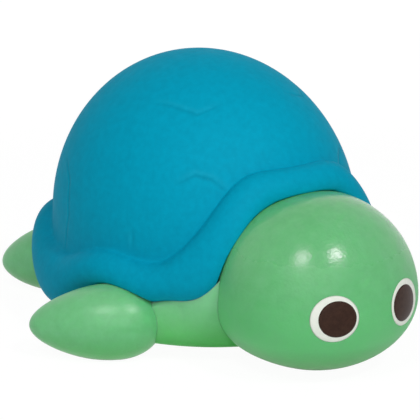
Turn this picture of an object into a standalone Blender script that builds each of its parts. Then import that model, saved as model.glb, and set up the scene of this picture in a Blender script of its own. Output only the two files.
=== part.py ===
"""Sea turtle bath toy: a soft green body, head and flippers with a pull-off blue shell.

Metres, +Z up. The turtle faces -Y and its right side is -X.
"""
import math

import bmesh
import bpy
import numpy as np
from mathutils import Matrix, Vector

# Fits and walls
GAP = 0.0003
COLLAR_GAP = 0.0006
WALL = 0.0024
FLOOR = 0.0

# Shell dome: an ellipsoid above its widest level, straight below it
SHELL_Y = 0.0103
DOME_HALF_WIDTH = 0.0338
DOME_HALF_LENGTH = 0.0399
DOME_LEVEL = 0.0237
DOME_HEIGHT = 0.0395

# Crease where the rolled rim starts: a level line that rises over the head and the flippers
CREASE_LEVEL = 0.0180
CREASE_FRONT_RISE = 0.0252
CREASE_FRONT_ANGLE = 41.5
CREASE_FRONT_POWER = 5.2
CREASE_SIDE_RISE = 0.0043
CREASE_SIDE_ANGLE = 77.0
CREASE_SIDE_SPREAD = 26.0
CREASE_REAR_RISE = 0.0050
CREASE_REAR_ANGLE = 148.0
CREASE_REAR_SPREAD = 40.0
RIM_DROP = 0.0092
CHEEK_DROP = 0.0080
CHEEK_ANGLE = 34.5
CHEEK_SPREAD = 21.5
SIDE_DROP = 0.0045
SIDE_ANGLE = 110.0
SIDE_SPREAD = 35.0
RIM_PROUD_FRONT = 0.0039
RIM_PROUD_REAR = 0.0056
RIM_FULLNESS = 1.0

# Body tub
BELLY_Z = 0.0020
BELLY_FLAT = 0.90
BILGE_RISE = 0.0042
COLLAR_TOP = 0.0310

# Skirt under the rim: as proud as the space below the rim is high
SKIRT_PROUD_SIDE = 0.0038
SKIRT_PROUD_FRONT = 0.0000
SKIRT_LOW = 0.0034
SKIRT_MIN = 0.0050
SKIRT_FULL = 0.0090
SKIRT_BURY = 0.0012

# Head
HEAD_FORWARD = 0.0058
HEAD_HALF_WIDTH = 0.0229
HEAD_HALF_LENGTH = 0.0204
HEAD_CROWN = 0.0233
HEAD_CHIN = 0.0161
HEAD_SINK = 0.0003
HEAD_BACK_POWER = 2.5
HEAD_BACK_FROM = -0.2
HEAD_BACK_TO = 0.7
NECK_R = 0.0062
NECK_BORE_R = 0.0040
NECK_FLANGE_R = 0.0086

# Eyes
EYE_TURN = 28.2
EYE_TILT = 2.6
EYE_R = 0.0053
EYE_DEPTH = 0.0015
PUPIL_R = 0.0041
PUPIL_DEPTH = 0.0008
PUPIL_SHIFT = 0.0006

# Flippers: ends of a fat teardrop, out and back from the tub's wall at the peg, and height above the floor
FRONT_ROOT = (-0.0009, -0.0059, 0.0086)
FRONT_TIP = (0.0235, 0.0126, 0.0070)
FRONT_HALF_BREADTH = 0.0106
FRONT_HALF_HEIGHT = 0.0107
FRONT_PEG_ANGLE = 64.0
REAR_ROOT = (-0.0040, -0.0050, 0.0084)
REAR_TIP = (0.0106, 0.0157, 0.0076)
REAR_HALF_BREADTH = 0.0092
REAR_HALF_HEIGHT = 0.0101
REAR_PEG_ANGLE = 144.0
TIP_TAPER = 0.40
PEG_R = 0.0027
PEG_FLANGE_R = 0.0038
FLANGE_THICK = 0.0014
PEG_BURY = 0.0028

# Squirt plug in the belly
PLUG_R = 0.0056
PLUG_FLANGE_R = 0.0078
PLUG_FLANGE_THICK = 0.0010
PLUG_STAND = 0.0012
SQUIRT_R = 0.0010

# Mesh fineness
RING = 64
DOME_ROWS = 8
RIM_ROWS = 8
INNER_ROWS = 7

PEG_Z = BELLY_Z + BILGE_RISE + PEG_FLANGE_R
HEAD_CENTRE = Vector((0.0, SHELL_Y - DOME_HALF_LENGTH - HEAD_FORWARD, HEAD_CHIN - HEAD_SINK))
HEAD_BACK = HEAD_CENTRE + Vector((0, HEAD_HALF_LENGTH, 0))


def clear_scene():
    for obj in list(bpy.data.objects):
        bpy.data.objects.remove(obj, do_unlink=True)


def make_collection(name):
    coll = bpy.data.collections.new(name)
    bpy.context.scene.collection.children.link(coll)
    return coll


def make_material(name, colour, roughness):
    mat = bpy.data.materials.new(name)
    mat.use_nodes = True
    node = mat.node_tree.nodes["Principled BSDF"]
    node.inputs["Base Color"].default_value = (*colour, 1.0)
    node.inputs["Roughness"].default_value = roughness
    return mat


def make_object(name, bm, coll, mat=None):
    bmesh.ops.recalc_face_normals(bm, faces=bm.faces)
    mesh = bpy.data.meshes.new(name)
    bm.to_mesh(mesh)
    bm.free()
    obj = bpy.data.objects.new(name, mesh)
    coll.objects.link(obj)
    if mat is not None:
        mesh.materials.append(mat)
    return obj


def make_tool(name, bm, coll):
    obj = make_object(name, bm, coll)
    obj.hide_render = True
    obj.display_type = "WIRE"
    return obj


def combine(obj, tool, operation):
    mod = obj.modifiers.new(operation.lower() + "_" + tool.name, "BOOLEAN")
    mod.operation = operation
    mod.solver = "EXACT"
    mod.object = tool


def bump(angle, at, spread):
    off = np.abs(angle - at)
    return np.where(off < spread, 0.5 + 0.5 * np.cos(np.pi * off / spread), 0.0)


def crease_height(angle):
    """Height of the crease at an angle in degrees from straight ahead, alike on both sides."""
    a = np.abs(angle)
    front = CREASE_FRONT_RISE / (1 + (a / CREASE_FRONT_ANGLE) ** CREASE_FRONT_POWER)
    side = CREASE_SIDE_RISE * bump(a, CREASE_SIDE_ANGLE, CREASE_SIDE_SPREAD)
    rear = CREASE_REAR_RISE * bump(a, CREASE_REAR_ANGLE, CREASE_REAR_SPREAD)
    return CREASE_LEVEL + front + side + rear


def dome_ring(angle, fall, inset):
    """Points on the dome, inset by a wall, at a fall angle from the top, plus normals and down tangents."""
    wide = DOME_HALF_WIDTH - inset
    long = DOME_HALF_LENGTH - inset
    high = DOME_HEIGHT - inset
    turn = np.radians(angle)
    capped = np.minimum(fall, math.pi / 2)
    below = fall - capped
    out = np.sin(capped)
    x = -wide * out * np.sin(turn)
    y = SHELL_Y - long * out * np.cos(turn)
    z = DOME_LEVEL + high * (np.cos(capped) - below)
    down = np.stack([-wide * np.cos(capped) * np.sin(turn), -long * np.cos(capped) * np.cos(turn),
                     -high * np.sin(capped)], -1)
    normal = np.stack([-out * np.sin(turn) / wide, -out * np.cos(turn) / long, np.cos(capped) / high], -1)
    down /= np.linalg.norm(down, axis=-1, keepdims=True)
    normal /= np.linalg.norm(normal, axis=-1, keepdims=True)
    return np.stack([x, y, z], -1), normal, down


def loft_rings(top, rings, bottom):
    """Close a stack of unlike rings between two end points."""
    bm = bmesh.new()
    first = bm.verts.new(top)
    loops = [[bm.verts.new(p) for p in ring] for ring in rings]
    last = bm.verts.new(bottom)
    count = len(loops[0])
    for i in range(count):
        j = (i + 1) % count
        bm.faces.new((first, loops[0][i], loops[0][j]))
        bm.faces.new((last, loops[-1][j], loops[-1][i]))
        for a, b in zip(loops, loops[1:]):
            bm.faces.new((a[i], b[i], b[j], a[j]))
    return bm


def crease_fall(angle):
    """How far round from the dome's top the crease lies."""
    rise = (crease_height(angle) - DOME_LEVEL) / DOME_HEIGHT
    return np.where(rise > 0, np.arccos(np.clip(rise, 0, 1)), math.pi / 2 - rise)


def rim_drop(angle):
    """Length of the rim below the crease."""
    cheek = CHEEK_DROP * bump(np.abs(angle), CHEEK_ANGLE, CHEEK_SPREAD)
    return RIM_DROP + cheek + SIDE_DROP * bump(np.abs(angle), SIDE_ANGLE, SIDE_SPREAD)


def shell_mesh():
    """Dome down to the crease, rolled rim round to the lip, then up the inside."""
    angle = np.linspace(-180.0, 180.0, RING, endpoint=False)
    fall = crease_fall(angle)
    rings = [dome_ring(angle, fall * i / DOME_ROWS, 0.0)[0] for i in range(1, DOME_ROWS + 1)]
    crease, normal, down = dome_ring(angle, fall, 0.0)
    drop = rim_drop(angle)
    proud = RIM_PROUD_FRONT + (RIM_PROUD_REAR - RIM_PROUD_FRONT) * np.abs(angle) / 180
    for i in range(1, RIM_ROWS + 1):
        part = math.pi * i / RIM_ROWS
        along = drop * 0.5 * (1 - math.cos(part))
        out = proud * max(math.sin(part), 0.0) ** RIM_FULLNESS
        rings.append(crease + down * along[:, None] + normal * out[:, None])
    rings.append(crease + down * drop[:, None] - normal * WALL)
    for i in range(INNER_ROWS, 0, -1):
        rings.append(dome_ring(angle, fall * i / INNER_ROWS, WALL)[0])
    top = (0.0, SHELL_Y, DOME_LEVEL + DOME_HEIGHT)
    inner_top = (0.0, SHELL_Y, DOME_LEVEL + DOME_HEIGHT - WALL)
    return loft_rings(top, rings, inner_top)


def collar_scale():
    """How far the dome has drawn in at the collar's top edge."""
    return math.sqrt(1 - ((COLLAR_TOP - DOME_LEVEL) / (DOME_HEIGHT - WALL)) ** 2)


def hull_axes(inset):
    """Half width and half length of the tub's straight wall."""
    scale = collar_scale()
    wide = (DOME_HALF_WIDTH - WALL) * scale - COLLAR_GAP - inset
    long = (DOME_HALF_LENGTH - WALL) * scale - COLLAR_GAP - inset
    return wide, long


def spin_profile(profile, steps, matrix):
    """Turn a profile of (radius, height) points about Z, then place it."""
    bm = bmesh.new()
    verts = [bm.verts.new((r, 0.0, z)) for r, z in profile]
    edges = [bm.edges.new(pair) for pair in zip(verts, verts[1:])]
    bmesh.ops.spin(bm, geom=verts + edges, cent=(0, 0, 0), axis=(0, 0, 1), dvec=(0, 0, 0),
                   angle=2 * math.pi, steps=steps, use_merge=True)
    bmesh.ops.remove_doubles(bm, verts=bm.verts, dist=0.00001)
    bmesh.ops.transform(bm, matrix=matrix, verts=bm.verts)
    return bm


def hull_mesh(inset, top):
    """The tub's outside, or its inside when inset: flat belly, rounded bilge, straight wall."""
    wide, long = hull_axes(inset)
    low = BELLY_Z + inset
    rise = BILGE_RISE - inset
    profile = [(0.0, low), (BELLY_FLAT, low)]
    for i in range(1, 7):
        turn = math.pi / 2 * i / 6
        profile.append((BELLY_FLAT + (1 - BELLY_FLAT) * math.sin(turn), low + rise * (1 - math.cos(turn))))
    profile += [(1.0, top), (0.0, top)]
    place = Matrix.Translation((0, SHELL_Y, 0)) @ Matrix.Diagonal((wide, long, 1, 1))
    return spin_profile(profile, RING, place)


def skirt_mesh():
    """A swelling of the tub that fills the space under the rim and ends just clear of its lip."""
    angle = np.linspace(-180.0, 180.0, RING, endpoint=False)
    turn = np.radians(angle)
    crease, normal, down = dome_ring(angle, crease_fall(angle), 0.0)
    lip = crease + down * rim_drop(angle)[:, None]
    top = np.minimum(lip, lip - normal * WALL)[:, 2] - COLLAR_GAP
    full = np.clip((top - SKIRT_MIN) / (SKIRT_FULL - SKIRT_MIN), 0.0, 1.0)
    full = (full * full * (3 - 2 * full))[:, None]
    top = np.clip(top, SKIRT_MIN, COLLAR_TOP)
    tub_wide, tub_long = hull_axes(SKIRT_BURY)
    wall, outward = dome_ring(angle, np.full(RING, math.pi / 2), 0.0)[:2]
    proud = SKIRT_PROUD_FRONT + (SKIRT_PROUD_SIDE - SKIRT_PROUD_FRONT) * np.sin(turn) ** 2
    inside = np.stack([-tub_wide * np.sin(turn), SHELL_Y - tub_long * np.cos(turn), wall[:, 2]], -1)
    least = outward * SKIRT_BURY / 2
    reach = least + (wall + outward * proud[:, None] - inside - least) * full
    profile = ((0.0, 0.0), (0.62, 0.0), (0.91, 0.14), (1.0, 0.36), (0.93, 0.76), (0.74, 1.0), (0.0, 1.0))
    bm = bmesh.new()
    loops = []
    for out, up in profile:
        ring = inside + reach * out
        ring[:, 2] = SKIRT_LOW + (top - SKIRT_LOW) * up
        loops.append([bm.verts.new(p) for p in ring])
    for a, b in zip(loops, loops[1:] + loops[:1]):
        for i in range(RING):
            j = (i + 1) % RING
            bm.faces.new((a[i], b[i], b[j], a[j]))
    return bm


def head_fullness(way):
    """How far the head's squarer back stands past an egg: 1 in front, more at the corners behind."""
    back = min(max((way.y - HEAD_BACK_FROM) / (HEAD_BACK_TO - HEAD_BACK_FROM), 0.0), 1.0)
    power = 2 + (HEAD_BACK_POWER - 2) * back * back * (3 - 2 * back)
    return (abs(way.x) ** power + abs(way.y) ** power + abs(way.z) ** power) ** (-1 / power)


def ball_mesh(grow, across, down):
    """The head's egg, grown outwards: taller above its widest level than below it, with a full back."""
    bm = bmesh.new()
    bmesh.ops.create_uvsphere(bm, u_segments=across, v_segments=down, radius=1.0)
    for v in bm.verts:
        high = (HEAD_CROWN if v.co.z > 0 else HEAD_CHIN) + grow
        wide = HEAD_HALF_WIDTH + grow
        long = HEAD_HALF_LENGTH + grow
        way = v.co * head_fullness(v.co)
        v.co = HEAD_CENTRE + Vector((way.x * wide, way.y * long, way.z * high))
    return bm


def teardrop_mesh(root, tip, breadth, height, peg_angle, side, grow):
    """A ball drawn out from root to tip, thinner towards the tip."""
    wall = wall_point(peg_angle, side)[0]
    start = Vector((wall.x + side * root[0], wall.y + root[1], root[2]))
    end = Vector((wall.x + side * tip[0], wall.y + tip[1], tip[2]))
    along = (end - start).normalized()
    across = Vector((0, 0, 1)).cross(along).normalized()
    up = along.cross(across)
    half = (end - start).length / 2 + grow
    middle = (start + end) / 2
    bm = bmesh.new()
    bmesh.ops.create_uvsphere(bm, u_segments=20, v_segments=14, radius=1.0)
    for v in bm.verts:
        t, a, h = v.co.z, v.co.x, v.co.y
        slim = 1 - TIP_TAPER * (0.5 + 0.5 * t)
        side_step = across * a * (breadth * slim + grow)
        v.co = middle + along * t * half + side_step + up * h * (height * slim + grow)
    return bm


def sweep_down(source):
    """The space a convex piece needs below it, so that the shell lifts straight off."""
    bm = bmesh.new()
    for v in source.verts:
        bm.verts.new(v.co)
        bm.verts.new(v.co - Vector((0, 0, DOME_HEIGHT)))
    source.free()
    bmesh.ops.convex_hull(bm, input=bm.verts)
    loose = [v for v in bm.verts if not v.link_faces]
    bmesh.ops.delete(bm, geom=loose, context="VERTS")
    return bm


def flatten_foot(bm):
    """Cut a small flat on which the piece stands."""
    whole = bm.verts[:] + bm.edges[:] + bm.faces[:]
    cut = bmesh.ops.bisect_plane(bm, geom=whole, plane_co=(0, 0, FLOOR), plane_no=(0, 0, -1),
                                 clear_outer=True)
    rim = [e for e in cut["geom_cut"] if isinstance(e, bmesh.types.BMEdge)]
    if rim:
        bmesh.ops.holes_fill(bm, edges=rim, sides=0)


def wall_point(angle, side):
    """Point on the tub's outer wall at an angle from straight ahead, and the outward normal."""
    wide, long = hull_axes(0.0)
    turn = math.radians(angle)
    point = Vector((side * wide * math.sin(turn), SHELL_Y - long * math.cos(turn), PEG_Z))
    normal = Vector((side * math.sin(turn) / wide, -math.cos(turn) / long, 0)).normalized()
    return point, normal


def aim(point, direction):
    """A frame whose Z runs along a direction."""
    return Matrix.Translation(point) @ direction.to_track_quat("Z", "Y").to_matrix().to_4x4()


def peg_mesh(angle, side):
    """A stem through the tub's wall with a mushroom flange inside it."""
    point, normal = wall_point(angle, side)
    wide, long = hull_axes(WALL)
    sag = PEG_FLANGE_R ** 2 / (2 * wide ** 2 / long)
    inner = -(WALL + GAP + sag)
    profile = [(0, PEG_BURY), (PEG_R, PEG_BURY), (PEG_R, inner), (PEG_FLANGE_R, inner),
               (PEG_FLANGE_R, inner - FLANGE_THICK * 0.5), (PEG_R, inner - FLANGE_THICK),
               (0, inner - FLANGE_THICK)]
    return spin_profile(profile, 16, aim(point, normal))


def drill_mesh(point, direction, radius, depth, steps):
    """A round cutter centred on a point."""
    profile = [(0, -depth), (radius, -depth), (radius, depth), (0, depth)]
    return spin_profile(profile, steps, aim(point, direction))


def eye_frame(side):
    """Point on the head's surface at an eye's middle, and the outward normal."""
    turn = math.radians(EYE_TURN)
    tilt = math.radians(EYE_TILT)
    ray = Vector((side * math.sin(turn) * math.cos(tilt), -math.cos(turn) * math.cos(tilt), math.sin(tilt)))
    axes = (HEAD_HALF_WIDTH, HEAD_HALF_LENGTH, HEAD_CROWN if tilt > 0 else HEAD_CHIN)
    local = ray / Vector([r / a for r, a in zip(ray, axes)]).length
    normal = Vector([c / a ** 2 for c, a in zip(local, axes)])
    return HEAD_CENTRE + local, normal.normalized()


def pupil_frame(side):
    point, normal = eye_frame(side)
    inward = Vector((-side, 0, 0))
    inward = (inward - normal * inward.dot(normal)).normalized()
    return point + inward * PUPIL_SHIFT, normal


def disc_mesh(point, normal, radius, depth):
    """A round plug from a depth under the surface to well above it."""
    profile = [(0, -depth), (radius, -depth), (radius, EYE_R), (0, EYE_R)]
    return spin_profile(profile, 28, aim(point, normal))


def join_meshes(meshes):
    """Put separate cutters into one mesh."""
    bm = bmesh.new()
    for part in meshes:
        mesh = bpy.data.meshes.new("joined")
        part.to_mesh(mesh)
        part.free()
        bm.from_mesh(mesh)
        bpy.data.meshes.remove(mesh)
    return bm


def build_shell(parts, tools):
    shell = make_object("shell", shell_mesh(), parts, make_material("shell_blue", (0.0, 0.34, 0.50), 0.6))
    combine(shell, make_tool("head_clearance", sweep_down(ball_mesh(GAP, 36, 24)), tools), "DIFFERENCE")
    for side, word in ((1, "left"), (-1, "right")):
        front = teardrop_mesh(FRONT_ROOT, FRONT_TIP, FRONT_HALF_BREADTH, FRONT_HALF_HEIGHT,
                              FRONT_PEG_ANGLE, side, GAP)
        rear = teardrop_mesh(REAR_ROOT, REAR_TIP, REAR_HALF_BREADTH, REAR_HALF_HEIGHT,
                             REAR_PEG_ANGLE, side, GAP)
        combine(shell, make_tool("front_clearance_" + word, sweep_down(front), tools), "DIFFERENCE")
        combine(shell, make_tool("rear_clearance_" + word, sweep_down(rear), tools), "DIFFERENCE")


def build_body(parts, tools):
    green = make_material("body_green", (0.17, 0.49, 0.21), 0.35)
    body = make_object("body", hull_mesh(0.0, COLLAR_TOP), parts, green)
    combine(body, make_tool("skirt", skirt_mesh(), tools), "UNION")
    hollow = make_tool("hollow", hull_mesh(WALL, COLLAR_TOP + WALL), tools)
    combine(hollow, make_tool("dish_outside", ball_mesh(GAP + WALL, 28, 18), tools), "DIFFERENCE")
    combine(body, hollow, "DIFFERENCE")
    combine(body, make_tool("dish_inside", ball_mesh(GAP, 36, 24), tools), "DIFFERENCE")
    for side, word in ((1, "left"), (-1, "right")):
        front = teardrop_mesh(FRONT_ROOT, FRONT_TIP, FRONT_HALF_BREADTH, FRONT_HALF_HEIGHT,
                              FRONT_PEG_ANGLE, side, GAP)
        rear = teardrop_mesh(REAR_ROOT, REAR_TIP, REAR_HALF_BREADTH, REAR_HALF_HEIGHT,
                             REAR_PEG_ANGLE, side, GAP)
        for name, room in (("front_socket_", front), ("rear_socket_", rear)):
            socket = make_tool(name + word, room, tools)
            core = make_tool(name + "core_" + word, hull_mesh(GAP, COLLAR_TOP), tools)
            combine(socket, core, "DIFFERENCE")
            combine(body, socket, "DIFFERENCE")
    drills = [drill_mesh(HEAD_BACK, Vector((0, 1, 0)), NECK_R + GAP, 3 * WALL, 24)]
    drills.append(drill_mesh(Vector((0, SHELL_Y, BELLY_Z)), Vector((0, 0, 1)), PLUG_R + GAP, 2 * WALL, 24))
    for side in (1, -1):
        for angle in (FRONT_PEG_ANGLE, REAR_PEG_ANGLE):
            point, normal = wall_point(angle, side)
            drills.append(drill_mesh(point, normal, PEG_R + GAP, 2 * WALL, 16))
    combine(body, make_tool("body_holes", join_meshes(drills), tools), "DIFFERENCE")


def build_head(parts, tools):
    egg = ball_mesh(0.0, 36, 24)
    flatten_foot(egg)
    head = make_object("head", egg, parts, make_material("head_green", (0.20, 0.52, 0.24), 0.3))
    inner = WALL + 2 * GAP
    profile = [(0, -PEG_BURY), (NECK_R, -PEG_BURY), (NECK_R, inner), (NECK_FLANGE_R, inner),
               (NECK_FLANGE_R, inner + FLANGE_THICK * 0.5), (NECK_R, inner + FLANGE_THICK),
               (0, inner + FLANGE_THICK)]
    neck = make_tool("neck_stem", spin_profile(profile, 24, aim(HEAD_BACK, Vector((0, 1, 0)))), tools)
    combine(head, neck, "UNION")
    combine(head, make_tool("head_hollow", ball_mesh(-WALL - EYE_DEPTH, 20, 14), tools), "DIFFERENCE")
    bore = drill_mesh(HEAD_BACK, Vector((0, 1, 0)), NECK_BORE_R, 4 * WALL, 20)
    combine(head, make_tool("neck_bore", bore, tools), "DIFFERENCE")
    pockets = [disc_mesh(*eye_frame(side), EYE_R + GAP, EYE_DEPTH + GAP) for side in (1, -1)]
    combine(head, make_tool("eye_pockets", join_meshes(pockets), tools), "DIFFERENCE")


def build_eyes(parts, tools):
    egg = make_tool("head_outside", ball_mesh(0.0, 36, 24), tools)
    for side, word in ((1, "left"), (-1, "right")):
        white = make_material("eye_white_" + word, (0.68, 0.80, 0.68), 0.35)
        ring = make_object("eye_white_" + word, disc_mesh(*eye_frame(side), EYE_R, EYE_DEPTH), parts, white)
        combine(ring, egg, "INTERSECT")
        seat = disc_mesh(*pupil_frame(side), PUPIL_R + GAP, PUPIL_DEPTH + GAP)
        combine(ring, make_tool("pupil_seat_" + word, seat, tools), "DIFFERENCE")
        dark = make_material("pupil_" + word, (0.035, 0.020, 0.013), 0.3)
        spot = make_object("pupil_" + word, disc_mesh(*pupil_frame(side), PUPIL_R, PUPIL_DEPTH), parts, dark)
        combine(spot, egg, "INTERSECT")


def build_flipper(name, root, tip, breadth, height, peg_angle, side, parts, tools, hull):
    drop = teardrop_mesh(root, tip, breadth, height, peg_angle, side, 0.0)
    flatten_foot(drop)
    flipper = make_object(name, drop, parts, make_material(name, (0.15, 0.47, 0.19), 0.33))
    combine(flipper, hull, "DIFFERENCE")
    combine(flipper, make_tool("peg_" + name, peg_mesh(peg_angle, side), tools), "UNION")


def build_flippers(parts, tools):
    hull = make_tool("hull_clearance", hull_mesh(-GAP, COLLAR_TOP), tools)
    for side, word in ((1, "left"), (-1, "right")):
        build_flipper("flipper_front_" + word, FRONT_ROOT, FRONT_TIP, FRONT_HALF_BREADTH, FRONT_HALF_HEIGHT,
                      FRONT_PEG_ANGLE, side, parts, tools, hull)
        build_flipper("flipper_rear_" + word, REAR_ROOT, REAR_TIP, REAR_HALF_BREADTH, REAR_HALF_HEIGHT,
                      REAR_PEG_ANGLE, side, parts, tools, hull)


def build_plug(parts):
    """A stepped stopper with the squirt hole through it, built about its own pull axis."""
    top = WALL + PLUG_STAND
    low = -GAP - PLUG_FLANGE_THICK
    profile = [(SQUIRT_R, low), (PLUG_FLANGE_R, low), (PLUG_FLANGE_R, -GAP), (PLUG_R, -GAP),
               (PLUG_R, top * 0.8), (PLUG_R * 0.9, top), (SQUIRT_R, top), (SQUIRT_R, low)]
    plug = make_object("squirt_plug", spin_profile(profile, 24, Matrix.Identity(4)), parts,
                       make_material("plug_green", (0.12, 0.40, 0.16), 0.45))
    plug.location = (0, SHELL_Y, BELLY_Z)


def main():
    clear_scene()
    parts = make_collection("turtle_bath_toy")
    tools = make_collection("cutters")
    build_shell(parts, tools)
    build_body(parts, tools)
    build_head(parts, tools)
    build_eyes(parts, tools)
    build_flippers(parts, tools)
    build_plug(parts)


main()
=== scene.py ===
import math

import bmesh
import bpy
import numpy as np
from mathutils import Matrix, Vector


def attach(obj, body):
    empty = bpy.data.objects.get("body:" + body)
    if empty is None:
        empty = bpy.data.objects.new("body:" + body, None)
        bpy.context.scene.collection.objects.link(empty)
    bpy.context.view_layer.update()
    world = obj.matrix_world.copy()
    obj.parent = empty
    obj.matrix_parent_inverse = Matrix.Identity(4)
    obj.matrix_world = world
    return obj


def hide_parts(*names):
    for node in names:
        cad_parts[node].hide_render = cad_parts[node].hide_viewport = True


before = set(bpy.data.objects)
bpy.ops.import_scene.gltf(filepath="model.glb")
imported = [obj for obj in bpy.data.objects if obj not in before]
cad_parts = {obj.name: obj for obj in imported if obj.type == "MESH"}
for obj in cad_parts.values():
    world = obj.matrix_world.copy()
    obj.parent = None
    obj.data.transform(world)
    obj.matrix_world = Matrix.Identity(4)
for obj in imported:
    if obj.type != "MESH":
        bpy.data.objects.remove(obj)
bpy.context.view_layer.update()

# Shapes and reliefs are in millimetres until a mesh is filled; where a finish changes with height, and the studio, are
# in metres. The turtle faces -Y and its right side is -X
scene = bpy.context.scene
metre = 0.001
tiny = 1e-9
print("frame loaded:", len(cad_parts), "solids")


def fromScreen(red, green, blue):
    # screen values of 0 to 255 as linear light
    value = np.array([red, green, blue]) / 255.0
    light = np.where(value <= 0.04045, value / 12.92, ((value + 0.055) / 1.055) ** 2.4)
    return (*light.tolist(), 1.0)


def bump(angle, rise, at, spread):
    # a raised cosine: rise at one angle, nothing further off than the spread
    off = np.abs(np.abs(angle) - at)
    return rise * np.where(off < spread, 0.5 + 0.5 * np.cos(np.pi * off / spread), 0.0)


def unit(vectors):
    return vectors / np.linalg.norm(vectors, axis=-1, keepdims=True)


def addPiece(name, points, faces):
    # fills a mesh from whole arrays; a closed surface that comes out inside out is turned round
    tris = np.concatenate([np.stack([f[:, 0], f[:, k], f[:, k + 1]], -1)
                           for f in faces for k in range(1, f.shape[1] - 1)])
    corner = points[tris]
    volume = np.einsum("ij,ij->i", corner[:, 0], np.cross(corner[:, 1], corner[:, 2])).sum()
    if volume < 0:
        faces = [f[:, ::-1] for f in faces]
    mesh = bpy.data.meshes.new(name)
    mesh.from_pydata((points * metre).tolist(), [], [row for f in faces for row in f.tolist()])
    piece = bpy.data.objects.new(name, mesh)
    scene.collection.objects.link(piece)
    return piece


def closedSurface(name, rings, first, last):
    # rows of rings closed round their columns, with a fan to one point at either end
    rows, columns = rings.shape[:2]
    here = np.arange(columns)
    after = (here + 1) % columns
    row = 1 + np.arange(rows - 1)[:, None] * columns
    quads = np.stack([row + here, row + columns + here, row + columns + after, row + after], -1).reshape(-1, 4)
    end = 1 + rows * columns
    top = np.stack([here * 0, 1 + here, 1 + after], -1)
    low = np.stack([here * 0 + end, end - columns + after, end - columns + here], -1)
    points = np.concatenate([np.reshape(first, (1, 3)), rings.reshape(-1, 3), np.reshape(last, (1, 3))])
    return addPiece(name, points, [quads, top, low])


def ringSurface(name, rings):
    # rows of rings closed round their columns, and the last row back to the first
    rows, columns = rings.shape[:2]
    i, j = np.meshgrid(np.arange(rows), np.arange(columns), indexing="ij")
    k, m = (i + 1) % rows, (j + 1) % columns
    quads = np.stack([i * columns + j, k * columns + j, k * columns + m, i * columns + m], -1).reshape(-1, 4)
    return addPiece(name, rings.reshape(-1, 3), [quads])


# Directions to find a first spoke with: one for an axis that is fairly level, one for an axis steeper than the limit
spokeFinder = {"level": (0.31, 0.17, 0.94), "upright": (0.94, 0.31, 0.17), "steep": 0.9}


def turnedSurface(name, profile, point, axis, columns, hollow=False):
    # a profile of (radius, height) carried round an axis; a hollow one closes on itself like a ring
    profile = np.array(profile, float)
    along = unit(np.array(axis, float))
    helper = spokeFinder["level" if abs(along[2]) < spokeFinder["steep"] else "upright"]
    across = unit(np.cross(along, helper))
    aside = np.cross(along, across)
    turn = np.linspace(0, 2 * np.pi, columns, endpoint=False)
    spoke = np.cos(turn)[:, None] * across + np.sin(turn)[:, None] * aside
    rings = np.array(point) + profile[:, 0, None, None] * spoke + profile[:, 1, None, None] * along
    if hollow:
        return ringSurface(name, rings)
    return closedSurface(name, rings[1:-1], rings[0, 0], rings[-1, 0])


def carve(piece, tool, operation):
    # one exact boolean, put into the mesh at once; the tool is used up
    cut = piece.modifiers.new(operation, "BOOLEAN")
    cut.operation = operation
    cut.solver = "EXACT"
    cut.object = tool
    graph = bpy.context.evaluated_depsgraph_get()
    made = bpy.data.meshes.new_from_object(piece.evaluated_get(graph))
    piece.modifiers.clear()
    old, used = piece.data, tool.data
    piece.data = made
    made.name = piece.name
    bpy.data.objects.remove(tool)
    bpy.data.meshes.remove(old)
    bpy.data.meshes.remove(used)


# Carved meshes, in degrees: seams that bend less lose their spare points, edges that bend more stay sharp
carvedBend = {"seam": 4.0, "sharp": 32.0}


def settle(piece, node, body, finish, carved=False):
    # the piece stands for its solid, rides on its body and takes its finish
    piece.data.materials.clear()
    piece.data.materials.append(finish)
    piece.data.polygons.foreach_set("use_smooth", np.ones(len(piece.data.polygons), dtype=bool))
    if carved:
        loose = bmesh.new()
        loose.from_mesh(piece.data)
        bmesh.ops.dissolve_limit(loose, angle_limit=math.radians(carvedBend["seam"]), verts=loose.verts, edges=[])
        loose.to_mesh(piece.data)
        loose.free()
        piece.data.set_sharp_from_angle(angle=math.radians(carvedBend["sharp"]))
    piece.data.update()
    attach(piece, body)
    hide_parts(node)
    print(piece.name, "made,", len(piece.data.polygons), "faces")


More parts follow.
